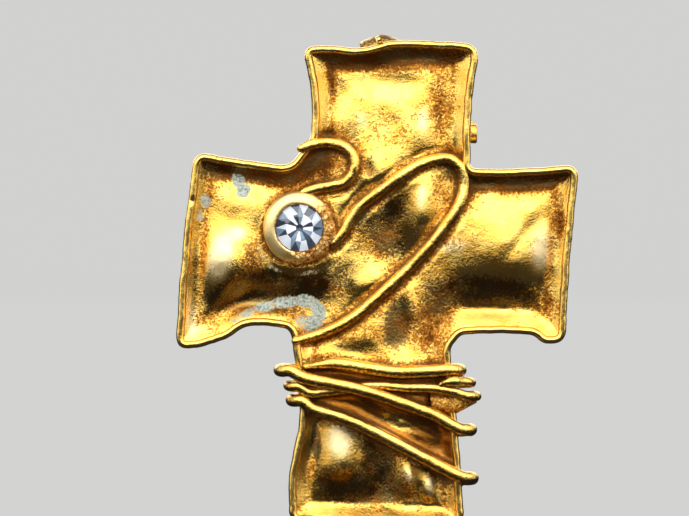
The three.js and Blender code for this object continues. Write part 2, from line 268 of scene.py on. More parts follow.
OUTLINE = cross_outline(0.4)
OUTLINE_NORMALS = inward_normals(OUTLINE, 2)

# ---- wires, as in the CAD
STONE, SETTING_RADIUS = np.array([-11.0, -21.95]), 4.9
CURL_RADIUS, LOOP_RADIUS, LONG_RADIUS, SHORT_RADIUS = 0.72, 0.75, 0.85, 0.68
CURL_PATH = spline([
    (-10.75, -11.35), (-8.9, -10.75), (-6.7, -10.65), (-4.8, -11.3), (-3.7, -12.8), (-3.85, -14.6),
    (-5, -15.9), (-6.9, -16.35), (-8.9, -16.75), (-10.4, -17.3)])
LOOP_PATH = spline([
    (-6.5, -24), (-5.25, -22.7), (-4.3, -21), (-3, -19.2), (0.4, -16.6), (3.8, -14.2), (6.6, -12.95),
    (8.9, -12.75), (10.35, -13.7), (10.95, -15.4), (10.7, -17.8), (8.6, -21.5), (5.2, -25.7),
    (1, -29.7), (-3.6, -33.7), (-7.6, -35.9), (-11.5, -37)])
# Heights of the bindings' middle over the front and the back, and the least height in front
FRONT_PASS, BACK_PASS, OVER_FRONT = 3.6, -0.93, 2.4
TURN_RADIUS = 1.4


def edge_turn(edge_x, y_start, y_end):
    """The wire's way round an edge: to the back at the right, to the front at the left."""
    side, cut = math.copysign(1, edge_x), TURN_RADIUS * (1 - math.sqrt(0.5))
    stations = [
        (TURN_RADIUS, FRONT_PASS - 0.1), (cut, FRONT_PASS - 0.6), (0, FRONT_PASS - 1.7),
        (0, BACK_PASS + TURN_RADIUS), (cut, BACK_PASS + cut), (TURN_RADIUS, BACK_PASS)]
    if edge_x < 0:
        stations.reverse()
    return [(edge_x - side * inward, y_start + (y_end - y_start) * i / 5, z)
            for i, (inward, z) in enumerate(stations)]


def front_pass(points):
    """The wire's way over the front. A third number is its height above the usual one."""
    return [(x, y, FRONT_PASS + sum(lift)) for x, y, *lift in points]


LONG_PATH = spline(
    front_pass([(-10.1, -40.45, -0.7), (-8.4, -40.2, -0.1), (-6.4, -40), (-1.9, -40.6), (2.1, -41.1),
                (6.8, -40.95)])
    + edge_turn(10.4, -40.85, -41.1) + edge_turn(-13.6, -41, -40.95)
    + front_pass([(-10.5, -41.8, 0.35), (-7.4, -42.45, 0.9), (-5.3, -42.85, 1.15), (-3.1, -43.35, 1.2),
                  (-1.1, -43.95, 0.9), (0.8, -44.6, 0.4), (6.9, -46.85)])
    + edge_turn(11.85, -48.75, -49.2) + edge_turn(-12, -45, -44.95)
    + front_pass([(-9.4, -45.9), (-5.3, -47.2), (-1.5, -48.85), (5.3, -52.4)])
    + edge_turn(12.05, -55.1, -55.9) + [(9.6, -57.1, BACK_PASS)])
SHORT_PATH = spline(
    front_pass([(7.9, -42.75, 0.35), (8.7, -42.4, 0.55), (9.6, -42.3, 0.6)])
    + edge_turn(11.85, -42.4, -42.9) + edge_turn(-12.45, -42.95, -43.1)
    + front_pass([(-9.8, -43.85, -0.15), (-7.5, -43.75, -0.3), (-4.9, -43.4, -0.3), (-1.2, -42.95, -0.3),
                  (3, -43.2, -0.3), (6.9, -43.3, -0.15), (9.6, -43.75)])
    + edge_turn(12.6, -44.3, -44.6) + [(8.4, -44.9, BACK_PASS)])


# ---- relief of the plate's front
# Hammered forms: x, y, half width, half height above, below, height, and degrees turned, if any.
# A negative height is a dent.
FORMS = [
    # upper arm: a shallow dish, and two soft blows under it
    (1.2, -2.7, 4.8, 2.2, 2.2, -0.6, -3), (-5.2, -7.4, 2.2, 2.6, 3.2, 0.28), (4.6, -9.4, 2.2, 2.6, 3, 0.34),
    (1.7, -8.4, 1, 2.4, 1.4, -0.14), (-8.2, -3, 1, 3, 3, -0.18, 4), (8.6, -5, 1.6, 4.5, 4.5, -0.28, 3),
    (-0.2, -15, 4.6, 6, 1.6, 0.85),
    # left arm: a bright ridge leaning down its left, and a long trough below the setting
    (-20.3, -27.4, 5.6, 6.5, 3, 1.6, 49), (-13, -33, 9.5, 5, 2, -1.1, 4),
    (-19.4, -33.8, 4.6, 4.8, 1.5, -0.6, 6), (-19.5, -17.5, 3, 2, 3, 0.2), (-24.2, -35, 3.4, 3, 2, 0.6, 40),
    # middle, inside the loop and below it
    (3, -17, 9, 9, 8, 0.6, -20), (5.2, -20.7, 1.8, 5.2, 2.4, 1, -6), (1.2, -21.4, 1.5, 5, 2.4, -0.5, -14),
    (0.8, -26.2, 4.4, 6, 2.2, -0.85, -35), (-2.4, -29.8, 2.4, 2.6, 1.6, 0.5, 30),
    (-8, -31.5, 4, 3, 2, -0.3, 20), (8.2, -17.4, 1.4, 2.6, 2.6, -0.18, -12),
    (4.2, -33.2, 1.2, 3.6, 1.4, 0.7, 5), (2, -37.4, 1.9, 6.6, 1.4, -0.95, -10),
    (7.2, -36.6, 1.9, 5.6, 1.2, -0.6), (-3, -36.6, 2.4, 1.8, 1.2, 0.25),
    # right arm: a wide pillow whose crest lies low
    (16.4, -26.9, 8.5, 9.5, 4.2, 1.3), (22.4, -25, 1.6, 5, 3.5, 0.36),
    (18.6, -23.4, 0.8, 3.8, 3.6, -0.24, -38), (13.6, -32.9, 8.8, 6, 2, -0.7),
    # stem
    (-5.8, -53.6, 2.6, 7.5, 2, 1.5), (0, -57.6, 2, 10, 2, -1.15, 4), (3.6, -55.6, 1.2, 3.6, 1.4, 1.2, 14),
    (-1.4, -60.2, 7, 5, 1.6, -0.75), (6.2, -57.4, 0.9, 2.6, 1.2, 0.8), (8.1, -58.2, 0.6, 2.2, 1.2, 0.3),
]
# Deep narrow pits: start and end, half width, depth
PITS = [([(-1.9, -13.6), (-1.5, -15)], 0.6, 0.45), ([(-7.6, -17.6), (-5.2, -17.3)], 0.45, 0.45)]
LIP, VALLEY, PILLOW_RISE, PILLOW_REACH = 2.35, 1.15, 0.75, 5.0
THINNEST, RIM_TOP, WIRE_SINK, FAR = 0.6, 2.62, 0.3, 9.0
PAD_EDGE, PAD_HEIGHT = (4.4, 6.6), 2.1      # the raised pad under the setting


def from_stone(x, y):
    return np.hypot(x - STONE[0], y - STONE[1])


def ellipse(x, y, middle_x, middle_y, half_width, half_up, half_down, turn=0):
    """Squared distance from the middle of a turned ellipse, 1 at its edge."""
    c, s = math.cos(math.radians(turn)), math.sin(math.radians(turn))
    x, y = x - middle_x, y - middle_y
    u, v = (x * c + y * s) / half_width, y * c - x * s
    v = v / np.where(v > 0, half_up, half_down)
    return u * u + v * v


def spot(x, y, middle_x, middle_y, half_width, half_up, half_down, amount, turn=0):
    """A soft spot over an ellipse, as high as the amount in the middle."""
    away = ellipse(x, y, middle_x, middle_y, half_width, half_up, half_down, turn)
    return amount * np.exp(-1.4 * away)


def open_relief(x, y):
    """Height of the plate's front without the wires' fillets, and how deep inside the edge it is."""
    depth, nearest = nearest_on(OUTLINE, x, y)
    depth = np.where(inside(OUTLINE, x, y), depth, 0.0)
    normal = OUTLINE_NORMALS[nearest]
    p = flat_points(x, y)
    faces_up = np.clip(normal[:, 1], 0, 1)          # along the lower edges
    crease = 2.5 + 0.9 * faces_up * smooth(y, -58, -50) + 0.3 * noise(p, 3.1, 4)
    valley = VALLEY + 0.12 * noise(p, 4, 9)
    slope = np.clip((crease - depth) / (crease - 1.0), 0, 1)
    q = np.clip((depth - crease) / PILLOW_REACH, 0, 1)
    h = valley + (LIP - valley) * slope**1.3 + PILLOW_RISE * (1 - (1 - q) ** 2.1)
    within = smooth(depth, 1.5, 3.6)
    for form in FORMS:
        h = h + spot(x, y, *form) * within
    for line, width, deep in PITS:
        h = h - deep * bell(nearest_on(np.array(line), x, y, closed=False)[0], width)
    inner = smooth(depth, 1.2, 3.0)
    h = h + inner * (0.055 * noise(p, 2.3, 21) + 0.036 * noise(p, 1.1, 22))
    pad = 1 - smooth(from_stone(x, y), *PAD_EDGE)
    h = h * (1 - pad) + PAD_HEIGHT * pad
    return (h + THINNEST + np.sqrt((h - THINNEST) ** 2 + 0.06)) / 2, depth


def laid_heights(path, radius, reach):
    """A wire's path with smoothed heights at which it lies on the plate."""
    line = resample(path, 0.3)
    h, depth = open_relief(line[:, 0], line[:, 1])
    h = np.maximum(h, RIM_TOP * (1 - smooth(depth, 0.6, 1.9)))
    h = np.convolve(np.pad(h, reach, mode="edge"), hump(reach), "valid")
    return np.column_stack([line, h + radius - WIRE_SINK])


CURL = laid_heights(CURL_PATH, CURL_RADIUS, 7)
LOOP = laid_heights(LOOP_PATH, LOOP_RADIUS, 8)

# Spots of colour: x, y, half width, half height above, below, amount, and degrees turned, if any.
# Brown patina; a negative amount is burnished.
BROWN = [
    (7.7, -5.6, 1.5, 5, 7.4, 1.05), (-6.6, -2.4, 0.8, 2.2, 3.2, 1.1, 6), (-7.4, -9, 2.4, 1.6, 1.4, 0.5),
    (2.4, 0, 7.5, 1.4, 1.6, 1.2), (-5, 0, 3.4, 1.6, 1.6, 0.75), (10, -12.2, 2.2, 1, 1, 0.9),
    (8, -17.6, 2.4, 3, 3.6, 0.45, -12), (-8.2, -13.4, 3.2, 2, 1.9, 1.7, 8),
    (-22.8, -15.4, 2.4, 1.8, 2.6, 0.5, -8), (-14.6, -15, 4.2, 1.3, 1.3, 0.7, -4),
    (-16.4, -26.8, 3, 2.2, 2, 0.5, 35), (-9.4, -28.6, 4.6, 1.4, 1.6, 0.4, 4),
    (-7.6, -31.8, 4.6, 2.4, 2.4, 0.55, 24), (0, -24, 6, 6, 6, 0.5, -40), (-4, -36, 5.4, 2.8, 2, 0.85, 8),
    (7, -32.6, 2.8, 3, 3, 1), (6, -37, 4, 2.4, 1.8, 0.65), (23.8, -21.6, 0.9, 4.6, 4, 1.15),
    (22.6, -32, 1.8, 1.8, 1.8, 0.5), (8.4, -28.2, 3, 2, 2.6, 0.45), (16.2, -16.8, 6.5, 1.4, 2.2, 0.65),
    (6.2, -22.4, 1.8, 1.8, 2.2, 0.7, -20), (-5.4, -55, 4.6, 1.6, 1.6, 0.3), (3, -56.4, 2.2, 2.4, 2.2, 0.55),
    (8.6, -55.6, 1.6, 2.4, 3, 0.5), (0, -60, 8, 1, 1, 0.35), (-25.6, -31, 1.4, 7, 6, -0.6, 4),
    (25, -26, 0.8, 9, 9, -0.6, 4), (2.6, -33.6, 3, 4, 4, 0.4), (17.5, -20.8, 4, 3, 3, -0.4),
    (-21, -23.4, 2.2, 5, 4.4, -0.4, -14), (1, -3, 5, 2, 2, -0.4), (1, -9.6, 7, 3, 3, 0.3),
    (-2.2, -28.4, 2.2, 1.6, 1.4, -0.7, 30), (5.2, -17.8, 1.3, 3, 3, -0.8, -8),
    (4.1, -31.2, 1.2, 2, 1.6, -0.9), (-5.4, -50.2, 2, 3.2, 3.2, -0.6), (3.4, -54.4, 0.9, 1.6, 1.6, -0.4),
    (6.4, -56, 0.8, 1.8, 1.8, -0.5),
]
# Painted shade and dark reflections, dark brown to olive
SHADE_SPOTS = [
    (-20.4, -14.6, 5.2, 1.4, 1.5, 1, -5), (-7.8, -12.5, 3, 1, 1.2, 0.8, 8),
    (-19.6, -31.2, 4.4, 2.3, 2.2, 1.35, 14), (-15.8, -29.2, 3.8, 2.2, 2.2, 1.3, -8),
    (-17.4, -24.8, 1.9, 3.2, 2.6, 0.6, -25), (-12.6, -31, 7.5, 1.4, 1.3, 0.8, 3),
    (-8.6, -29, 5, 1.6, 2, 0.8, 4), (-2.9, -20.6, 2, 2.2, 2.4, 0.45, -36),
    (0.6, -23.6, 3.8, 2.4, 2.2, 0.75, -38), (1.6, -20.4, 1.9, 3.4, 3.4, 0.6, -20),
    (0.2, -18.6, 1.8, 1.8, 1.8, 0.4, -30), (-5.4, -27, 1.6, 1.1, 1.1, 0.5), (9, -14.6, 1.7, 0.8, 1, 0.7, 8),
    (2.1, -34.8, 1.8, 3.6, 3.8, 1.7, -8), (13.6, -29.9, 8.4, 1.9, 2.2, 1, -3),
    (18, -15.5, 8, 1.3, 1.3, 1.05, 2), (20.8, -14.8, 3, 0.9, 0.9, 0.5), (-8.75, -50.6, 0.7, 3, 3.6, 1.2),
    (-0.5, -52.4, 2.5, 3.4, 3.8, 1.5), (-1.4, -57.2, 6.6, 2.1, 2.2, 1.5, 2),
    (7.2, -55, 4.2, 0.9, 1, 0.7, -32), (-6, -55.4, 2.6, 1.1, 1.2, 0.8), (-1.8, -14.2, 0.8, 1.2, 1.4, 0.9, 8),
    (1.9, -7.2, 1, 1.4, 1.4, 0.36), (4.6, 0.9, 6, 0.8, 0.9, 0.8), (-6.4, 1.4, 4, 0.8, 0.6, 0.5),
    (7.4, -32, 3, 2.4, 2.8, 0.55), (-13.4, -32.7, 5, 1, 1.3, 0.6, 4),
]
# Painted glare: pale, slightly matt highlights
GLARE_SPOTS = [
    (-21.6, -26, 1.9, 3.8, 3.6, 1.1, -12), (-19, -22.6, 1.4, 1.2, 1.2, 0.6), (-2.7, -7.6, 1.4, 1.8, 1.8, 0.5),
    (5.5, -7.6, 1.2, 2.6, 2.4, 0.6), (21.2, -25.2, 1.9, 3.8, 3.2, 0.85, -6), (9.4, -24.4, 3, 1.6, 1.4, 0.6),
    (-5.6, -50.2, 2.1, 3.2, 3, 1), (3.5, -55.2, 1, 1.8, 1.8, 0.7, 12), (6.4, -56.2, 0.8, 1.8, 1.8, 0.8),
    (5.2, -17.8, 0.9, 2.4, 2.2, 0.7, -8), (-10, -6, 0.8, 4, 4, 0.5), (-25.4, -34.4, 1.5, 4, 3, 0.6, 8),
]


def spots(x, y, table):
    return sum(spot(x, y, *row) for row in table)


def softened(h, depth, reach):
    """The relief with its mitred creases rounded, away from the edge. h and depth are grids."""
    padded = np.pad(h, reach, mode="edge")
    blurred = sum(w * padded[i:i + h.shape[0]] for i, w in enumerate(hump(reach)))
    blurred = sum(w * blurred[:, i:i + h.shape[1]] for i, w in enumerate(hump(reach)))
    return h + (blurred - h) * smooth(depth, 1.1, 1.9)


def plate_relief(x, y, h, depth):
    """The front with fillets where wires and setting meet it, and the marks that colour follows."""
    p = flat_points(x, y)
    near = np.full(len(x), FAR)
    for line, radius in ((CURL, CURL_RADIUS), (LOOP, LOOP_RADIUS)):
        d, index = nearest_on(line[:, :2], x, y, closed=False)
        centre = line[index, 2] - 0.25
        lift = (centre - h) * np.exp(-((d / (radius + 0.02)) ** 6))
        h = h + np.maximum(lift, 0) - 0.14 * bell(d - radius - 0.5, 0.4)
        near = np.minimum(near, d - radius)
    for path, radius in ((LONG_PATH, LONG_RADIUS), (SHORT_PATH, SHORT_RADIUS)):
        front = resample(path, 0.5)
        over = (front[:-1, 2] > OVER_FRONT) & (front[1:, 2] > OVER_FRONT)
        d, _ = nearest_on(front[:, :2], x, y, closed=False, used=over)
        h = h + 0.55 * bell(d, radius + 0.3) * smooth(depth, 0.8, 1.6)
        near = np.minimum(near, d - radius)
    near = np.clip(np.minimum(near, from_stone(x, y) - SETTING_RADIUS), 0, FAR)
    _, nearest = nearest_on(OUTLINE[::3], x, y)
    normal = OUTLINE_NORMALS[::3][nearest]
    faces_up, faces_down = np.clip(normal[:, 1], 0, 1), np.clip(-normal[:, 1], 0, 1)
    slope = smooth(depth, 0.6, 1.6) * (1 - smooth(depth, 2.6, 3.6))
    crease = bell(depth - 2.7 - 0.7 * faces_up, 0.55)
    # Brown patina in the crease and on the slope inside the edge, plus painted shade where the slope faces
    # down and painted light where it faces up
    patina = 0.6 * crease * (1 - 0.4 * faces_up) + slope * (0.6 * faces_down - 0.1 * faces_up - 0.05)
    patina += 1.0 * bell(near, 0.6) + spots(x, y, BROWN) + 0.34 * octaves(p, 3, 40)
    patina += 0.45 * faces_up * slope * noise(p, 1.3, 43)
    # between the bindings, and along the top, the gilding is glazed an even brown
    last_wire = -50.0 - 0.42 * x
    bound = smooth(y, last_wire - 0.6, last_wire + 0.6) * (1 - smooth(y, -40.9, -39.9))
    bound = bound * (1 - smooth(np.abs(x), 12.5, 14.0))
    glaze = np.maximum(bound, spot(x, y, 0.6, 0.1, 9, 1.6, 1.2, 0.8))
    patina += (0.9 + 0.5 * bell(near, 0.4) - patina) * 0.9 * glaze
    # A painted highlight: a patch of the glaze cleared to bright gold
    patina -= spot(x, y, 2, -47.9, 1.9, 0.8, 0.8, 1.1, -28)
    grain = (0.16 + 0.84 * smooth(patina, 0.0, 0.8)) * (1 - 0.85 * glaze)
    streaks = flat_points((x * 0.91 - y * 0.42) / 4.0, x * 0.42 + y * 0.91)
    h = h + bound * (0.07 * noise(streaks, 0.9, 44) + 0.03 * noise(streaks, 0.4, 45))
    # Painted shade: the spots above, slopes near the edge that face down, and a band beside the wires and
    # setting, weaker between the bindings
    tarnish = spots(x, y, SHADE_SPOTS) + 0.8 * faces_down * slope * (1 - smooth(depth, 1.8, 2.8))
    tarnish += (0.45 - 0.3 * bound) * bell(near, 0.45)
    h = h + 0.01 * noise(p, 0.6, 23) + grain * (0.018 * noise(p, 0.55, 24) + 0.012 * noise(p, 0.4, 25))
    # Painted highlights: pale glare over the spots above
    painted_glare = spots(x, y, GLARE_SPOTS)
    return h, {"patina": patina, "grain": grain, "tarnish": tarnish, "painted_glare": painted_glare, "calm": glaze}


# Step of the plate's grid, the strip left to the rim, and the hole under the setting
CELL, EDGE_STRIP, STONE_HOLE = 0.2, 0.6, 4.0


def hammered_plate():
    gx, gy = np.meshgrid(np.arange(-28.2, 27.2, CELL), np.arange(-62.6, 3.9, CELL))
    x, y = gx.ravel(), gy.ravel()
    h, depth = open_relief(x, y)
    h = softened(h.reshape(gx.shape), depth.reshape(gx.shape), 4).ravel()
    keep = (depth > EDGE_STRIP) & (from_stone(x, y) > STONE_HOLE)
    quads = grid_faces(*gx.shape)
    quads = quads[keep[quads].all(1)]
    used, quads = np.unique(quads, return_inverse=True)
    quads = quads.reshape(-1, 4)
    x, y, depth, count = x[used], y[used], depth[used], len(used)
    h, marks = plate_relief(x, y, h[used], depth)
    p = flat_points(x, y)
    back = 0.14 + 0.07 * noise(p, 3.2, 60) + 0.03 * noise(p, 0.9, 61) - 0.06 * bell(depth, 1.6)
    points = np.vstack([np.column_stack([x, y, h]), np.column_stack([x, y, back])])
    edges = np.concatenate([quads[:, [i, (i + 1) % 4]] for i in range(4)])
    key = np.sort(edges, 1) @ np.array([count, 1])
    _, first, times = np.unique(key, return_index=True, return_counts=True)
    rim = edges[first[times == 1]]      # edges of one quad only, which walls join to the back
    walls = np.column_stack([rim[:, ::-1], rim + count])
    verdigris = np.zeros(count)
    for vx, vy, half_width, half_height, turn, amount in VERDIGRIS:
        away = ellipse(x, y, vx, vy, half_width, half_height, half_height, turn)
        verdigris = np.maximum(verdigris, amount * np.exp(-(away**2)))
    marks.update(verdigris=verdigris, satin=np.zeros(count))
    worn = octaves(p, 3, 62)
    # The back: patina and grain from noise, an even painted glare, and a satin finish
    on_back = {"patina": 0.2 + 0.3 * worn, "grain": 0.3 + 0.2 * worn, "painted_glare": 0.4,
               "satin": 0.36 - 0.12 * worn}
    marks = {key: np.append(values, np.zeros(count) + on_back.get(key, 0.0)) for key, values in marks.items()}
    build("hammered_plate", points, [np.vstack([quads, quads[:, ::-1] + count, walls])], [GILT],
          "cross_plate", marks=marks)


# Grey-green deposits: x, y, half width, half height, turn, amount
VERDIGRIS = [
    (-19.2, -15.6, 1, 0.8, -30, 0.9), (-18.5, -16.9, 1, 1, 0, 0.9), (-23.6, -18.4, 0.7, 0.9, 0, 0.7),
    (-24.3, -20.4, 0.5, 0.9, 0, 0.6), (-18, -33.4, 1.5, 0.6, 20, 0.6), (-15.6, -32.5, 1.6, 0.7, 12, 0.8),
    (-12.8, -31.9, 1.9, 0.75, 4, 0.95), (-10.2, -31.8, 1.6, 0.85, -8, 1), (-8.5, -33, 0.95, 1.4, 20, 1),
    (-9.2, -34.6, 1.5, 1, 30, 0.9), (-10.8, -34.4, 0.9, 0.9, 0, 0.5), (-16, -25.4, 0.4, 1.6, 25, 0.35),
    (-14.4, -27.4, 1.3, 0.35, -25, 0.35), (-19.6, -34.3, 0.6, 0.4, 0, 0.5), (-9.8, -28, 2, 0.4, 8, 0.3),
]


# ---- raised rim
# The bead's section: inward, height, share of the bead's swelling
RIM_SECTION = [
    (0.6, -0.05, 0), (0.36, -0.04, 0), (0.12, 0.06, 0), (0.03, 0.3, 0), (0, 0.8, 0), (0, 1.4, 0), (0, 1.9, 0),
    (0.02, 2.2, 0.3), (0.08, 2.46, 0.6), (0.18, 2.67, 0.8), (0.31, 2.8, 1), (0.46, 2.86, 1), (0.62, 2.86, 1),
    (0.78, 2.79, 1), (0.91, 2.66, 0.8), (1.01, 2.48, 0.5), (1.08, 2.25, 0.2), (1.12, 1.95, 0), (1.15, 1.5, 0),
    (1.1, 0.8, 0), (1, 0.3, 0), (0.8, 0.05, 0),
]


def rim_strip():
    line = cross_outline(0.16)
    normal = inward_normals(line, 4)
    p = flat_points(line[:, 0], line[:, 1])
    side = smooth(np.abs(normal[:, 0]), 0.45, 0.85)
    faces_up = np.clip(normal[:, 1], 0, 1)
    wobble = 0.07 * noise(p, 2.4, 70) + 0.035 * noise(p, 0.8, 71)
    swell = 1 + 0.2 * noise(p, 2.4, 72) + 0.05 * noise(p, 0.9, 73)
    lump = 1.6 * bell(np.hypot(p[:, 0] + 2.3, p[:, 1] - 2.2), 1.1)
    for px, py in ((6.0, 2.6), (-24.8, -37.2), (-22.6, -36.7), (-26.3, -18.2)):
        lump -= 2.0 * bell(np.hypot(p[:, 0] - px, p[:, 1] - py), 0.45)
    points = []
    for inward, height, bead in RIM_SECTION:
        h = height + bead * (0.3 * (swell - 1) + 0.2 * lump)
        h = h + 0.012 * noise(p + inward * 3, 0.4, 76) * (height > 1)
        points.append(np.column_stack([line + normal * (inward - wobble)[:, None], h]))
    points, faces = solid(np.stack(points, 1), closed=True)
    k = len(RIM_SECTION)
    column = np.tile(np.arange(k), len(line))
    inner_foot, outer_foot = np.isin(column, (15, 16, 17)), np.isin(column, (3, 4, 5))
    patina = np.repeat(side, k) * inner_foot * 0.8 + outer_foot * 0.3
    # Painted light: less patina where the rim faces up
    patina = patina + 0.22 * octaves(points, 2.6, 77) - 0.12 * np.repeat(faces_up, k)
    build("edge_rim", points, faces, [RIM_GILT], "rim_border",
          marks={"patina": patina, "grain": smooth(patina, 0.1, 0.8)})


# ---- swept and turned solids
def solid(sections, closed=False):
    """A skin over rows of points, which close on themselves or are shut with a fan at each end."""
    rows, k, _ = sections.shape
    points = sections.reshape(-1, 3)
    faces = [grid_faces(rows, k, closed, True)]
    if closed:
        return points, faces
    c = np.arange(k)
    after = (c + 1) % k
    last, first_tip, last_tip = (rows - 1) * k, rows * k, rows * k + 1
    faces.append(np.column_stack([np.full(k, first_tip), after, c]))
    faces.append(np.column_stack([np.full(k, last_tip), last + c, last + after]))
    return np.vstack([points, sections[0].mean(0), sections[-1].mean(0)]), faces


def joined(*solids):
    points, faces, start = [], [], 0
    for own, groups in solids:
        points.append(own)
        faces += [g + start for g in groups]
        start += len(own)
    return np.vstack(points), faces


def sweep(path, radius_at):
    """Rings round a path, closing to rounded ends, and the path point that belongs to each ring point."""
    n = len(path)
    along = np.gradient(path, axis=0)
    along /= lengths(along)
    up = np.array([0.0, 0.0, 1.0])
    first = up - along[0] * (up @ along[0])
    frames = [first / np.linalg.norm(first)]
    for i in range(1, n):
        v = frames[-1] - along[i] * (frames[-1] @ along[i])
        frames.append(v / np.linalg.norm(v))
    u = np.array(frames)
    w = np.cross(along, u)
    radius = radius_at(np.linspace(0, 1, n))
    angle = circle(TUBE_SIDES)[:, None]

    def ring(i, tilt, forward):
        """A ring at a path point, tilted towards the tip of a rounded end."""
        out = np.cos(angle) * u[i] + np.sin(angle) * w[i]
        return path[i] + radius[i] * math.cos(tilt) * out + forward * along[i] * radius[i] * math.sin(tilt)

    tilts = np.radians([80, 60, 40, 20])
    rings = [ring(0, t, -1) for t in tilts] + [ring(i, 0, 0) for i in range(n)]
    rings += [ring(-1, t, 1) for t in tilts[::-1]]
    centres = np.concatenate([path[[0]].repeat(4, 0), path, path[[-1]].repeat(4, 0)])
    return np.array(rings), centres.repeat(TUBE_SIDES, 0)


def aged(patina, least, more, **others):
    """Marks whose grain grows with the patina."""
    return {"patina": patina, "grain": least + more * smooth(patina, 0, 0.8), **others}


def wire(name, path, radius, start_taper, end_taper, seed, replaces, extra=()):

    def radius_at(t):
        r = radius * (1 + 0.05 * noise(flat_points(t * 60, 0 * t), 2.2, seed))
        return r * (1 - start_taper * (1 - smooth(t, 0, 0.035))) * (1 - end_taper * smooth(t, 0.975, 1))

    rings, centre = sweep(path, radius_at)
    points, faces = solid(rings)
    out = points[:len(centre)] - centre
    out = out / (lengths(out) + 1e-9)
    # Painted shade on the wire's down-facing underside; brown patina with painted shade on the sides turned
    # to the plate
    shaded_underside = smooth(-out[:, 1], -0.65, 0.35) * smooth(out[:, 2], -0.9, -0.2)
    shaded_underside = np.append(shaded_underside * (1 - 0.4 * smooth(out[:, 2], 0.6, 1.0)), [0.3, 0.3])
    low = np.append(1 - smooth(out[:, 2], -0.3, 0.6), [0.3, 0.3])
    out = np.vstack([out, np.zeros((2, 3))])
    bumps = 0.03 * noise(points, 0.9, seed + 1) + 0.02 * noise(points, 0.36, seed + 2)
    points = points + out * bumps[:, None]
    patina = 0.5 * low + 0.25 * shaded_underside + 0.16 * octaves(points, 1.8, seed + 3) - 0.3
    tarnish = 0.66 * shaded_underside + 0.3 * low
    if extra:
        points, faces = joined((points, faces), *extra)
        patina = np.append(patina, 0.75 + 0.25 * octaves(points[len(patina):], 1.6, seed + 4))
        tarnish = np.append(tarnish, np.zeros(len(patina) - len(tarnish)))
    build(name, points, faces, [WIRE_GILT], replaces,
          marks=aged(patina, 0.3, 0.6, tarnish=tarnish))


def solder_web(upper, lower):
    """A thin sheet of solder stretched between two lines of (x, y) points."""
    height, thickness = 2.7, 0.9
    share, angle = np.linspace(0, 1, 24)[:, None], circle(24)
    lines = []
    for line in (resample(upper, 0.25), resample(lower, 0.25)):
        at = np.linspace(0, 1, len(line))
        lines.append(np.stack([np.interp(share, at, line[:, k]) for k in (0, 1)], -1))
    a, b = lines
    across = (a + b) / 2 + (a - b) / 2 * np.cos(angle)[:, None]
    rise = height + thickness / 2 * np.sin(angle) - 0.3 * np.cos(angle) ** 2
    return solid(np.dstack([across, np.broadcast_to(rise, across.shape[:2])]))


def turned(profile, angles, axis, middle):
    """Rows of a section of (radius, along) points turned about an axis (0 is x) through the middle."""
    profile = np.asarray(profile, float)
    r, a = np.meshgrid(profile[:, 0], angles)
    parts = [r * np.cos(a), r * np.sin(a)]
    parts.insert(axis, np.tile(profile[:, 1], (len(angles), 1)))
    return np.stack(parts, -1) + middle


def pierced_plate(inner, outer, low, high, bevel):
    """A flat bevelled ring round the rivet, between two outlines of the same number of points."""
    b = bevel / lengths(outer - inner)
    stations = [(0, low + bevel), (b, low), (1 - b, low), (1, low + bevel), (1, high - bevel), (1 - b, high),
                (b, high), (0, high - bevel)]
    rows = np.stack([inner + (outer - inner) * share for share, _ in stations], 1)
    along = np.broadcast_to([height for _, height in stations], rows.shape[:2])
    return solid(np.stack([PIN_X + rows[..., 0], PIN_Y + along, PIN_Z + rows[..., 1]], -1), closed=True)


# ---- setting and stone
COLLAR_PROFILE = [
    (0.02, 0.12), (2.2, 0.1), (3.7, 0.12), (3.85, 0.25), (3.9, 0.6), (3.9, 1.6), (3.95, 1.75), (4.3, 1.8),
    (4.72, 1.9), (4.88, 2.15), (4.88, 2.5), (4.83, 2.85), (4.72, 3.12), (4.54, 3.34), (4.3, 3.5), (4, 3.62),
    (3.7, 3.7), (3.45, 3.73), (3.3, 3.7), (3.21, 3.6), (3.18, 3.4), (3.18, 3.15), (2.6, 2.5), (1.6, 1.5),
    (0.7, 0.55), (0.02, 0.5),
]


def stone_cup():
    points, faces = solid(turned(COLLAR_PROFILE, circle(220), 2, (*STONE, 0)), closed=True)
    x, y, height = points.T
    angle, radial = np.arctan2(y - STONE[1], x - STONE[0]), from_stone(x, y)
    rough = smooth(np.cos(angle + 0.55), -0.3, 0.6) * (radial > 3.25) * (height > 1.9)
    edge = smooth(radial, 3.2, 3.6)
    out = np.column_stack([np.cos(angle), np.sin(angle), 0 * angle])
    swell = 0.08 * noise(points, 2, 150) + 0.28 * rough * noise(points, 0.9, 151)
    swell += 0.12 * rough * noise(points, 0.42, 152)
    points = points + out * (edge * swell)[:, None]
    chips = 0.5 * rough * np.clip(noise(points, 0.7, 154), 0, 1)
    points[:, 2] += edge * (0.06 * noise(points, 1.8, 153) - chips)
    patina = -0.25 + 0.95 * rough + 0.22 * octaves(points, 1.5, 155)
    patina += 0.6 * (1 - smooth(points[:, 2], 2.2, 2.9))
    under = points[:, 2] < 0.3
    patina = np.where(radial < 3.3, np.where(under, 0.24, 0.9), patina)
    # The collar gets painted glare away from its rough side and its underside
    build("collar_cup", points, faces, [COLLAR_GILT], "stone_cup",
          marks={"patina": patina, "grain": 0.15 + 0.8 * smooth(patina, 0, 0.7),
                 "painted_glare": 0.34 * (1 - rough) * ~under, "satin": np.where(under, 0.4, 0.14 * (1 - rough))})


# Painted reflections in the foil behind each sixteenth of the pavilion, inner and outer facets: 1 bright and
# glowing, 2 dark, 3 middling and glowing
DARK_FOIL = 2
SPARKLE_IN = "2113212112313231"
SPARKLE_OUT = "3121213231121213"


def ring_of(count, radius, height, turn=0.0):
    corners = [math.radians(360 / count * i + turn) for i in range(count)]
    return [(STONE[0] + radius * math.cos(a), STONE[1] + radius * math.sin(a), height) for a in corners]


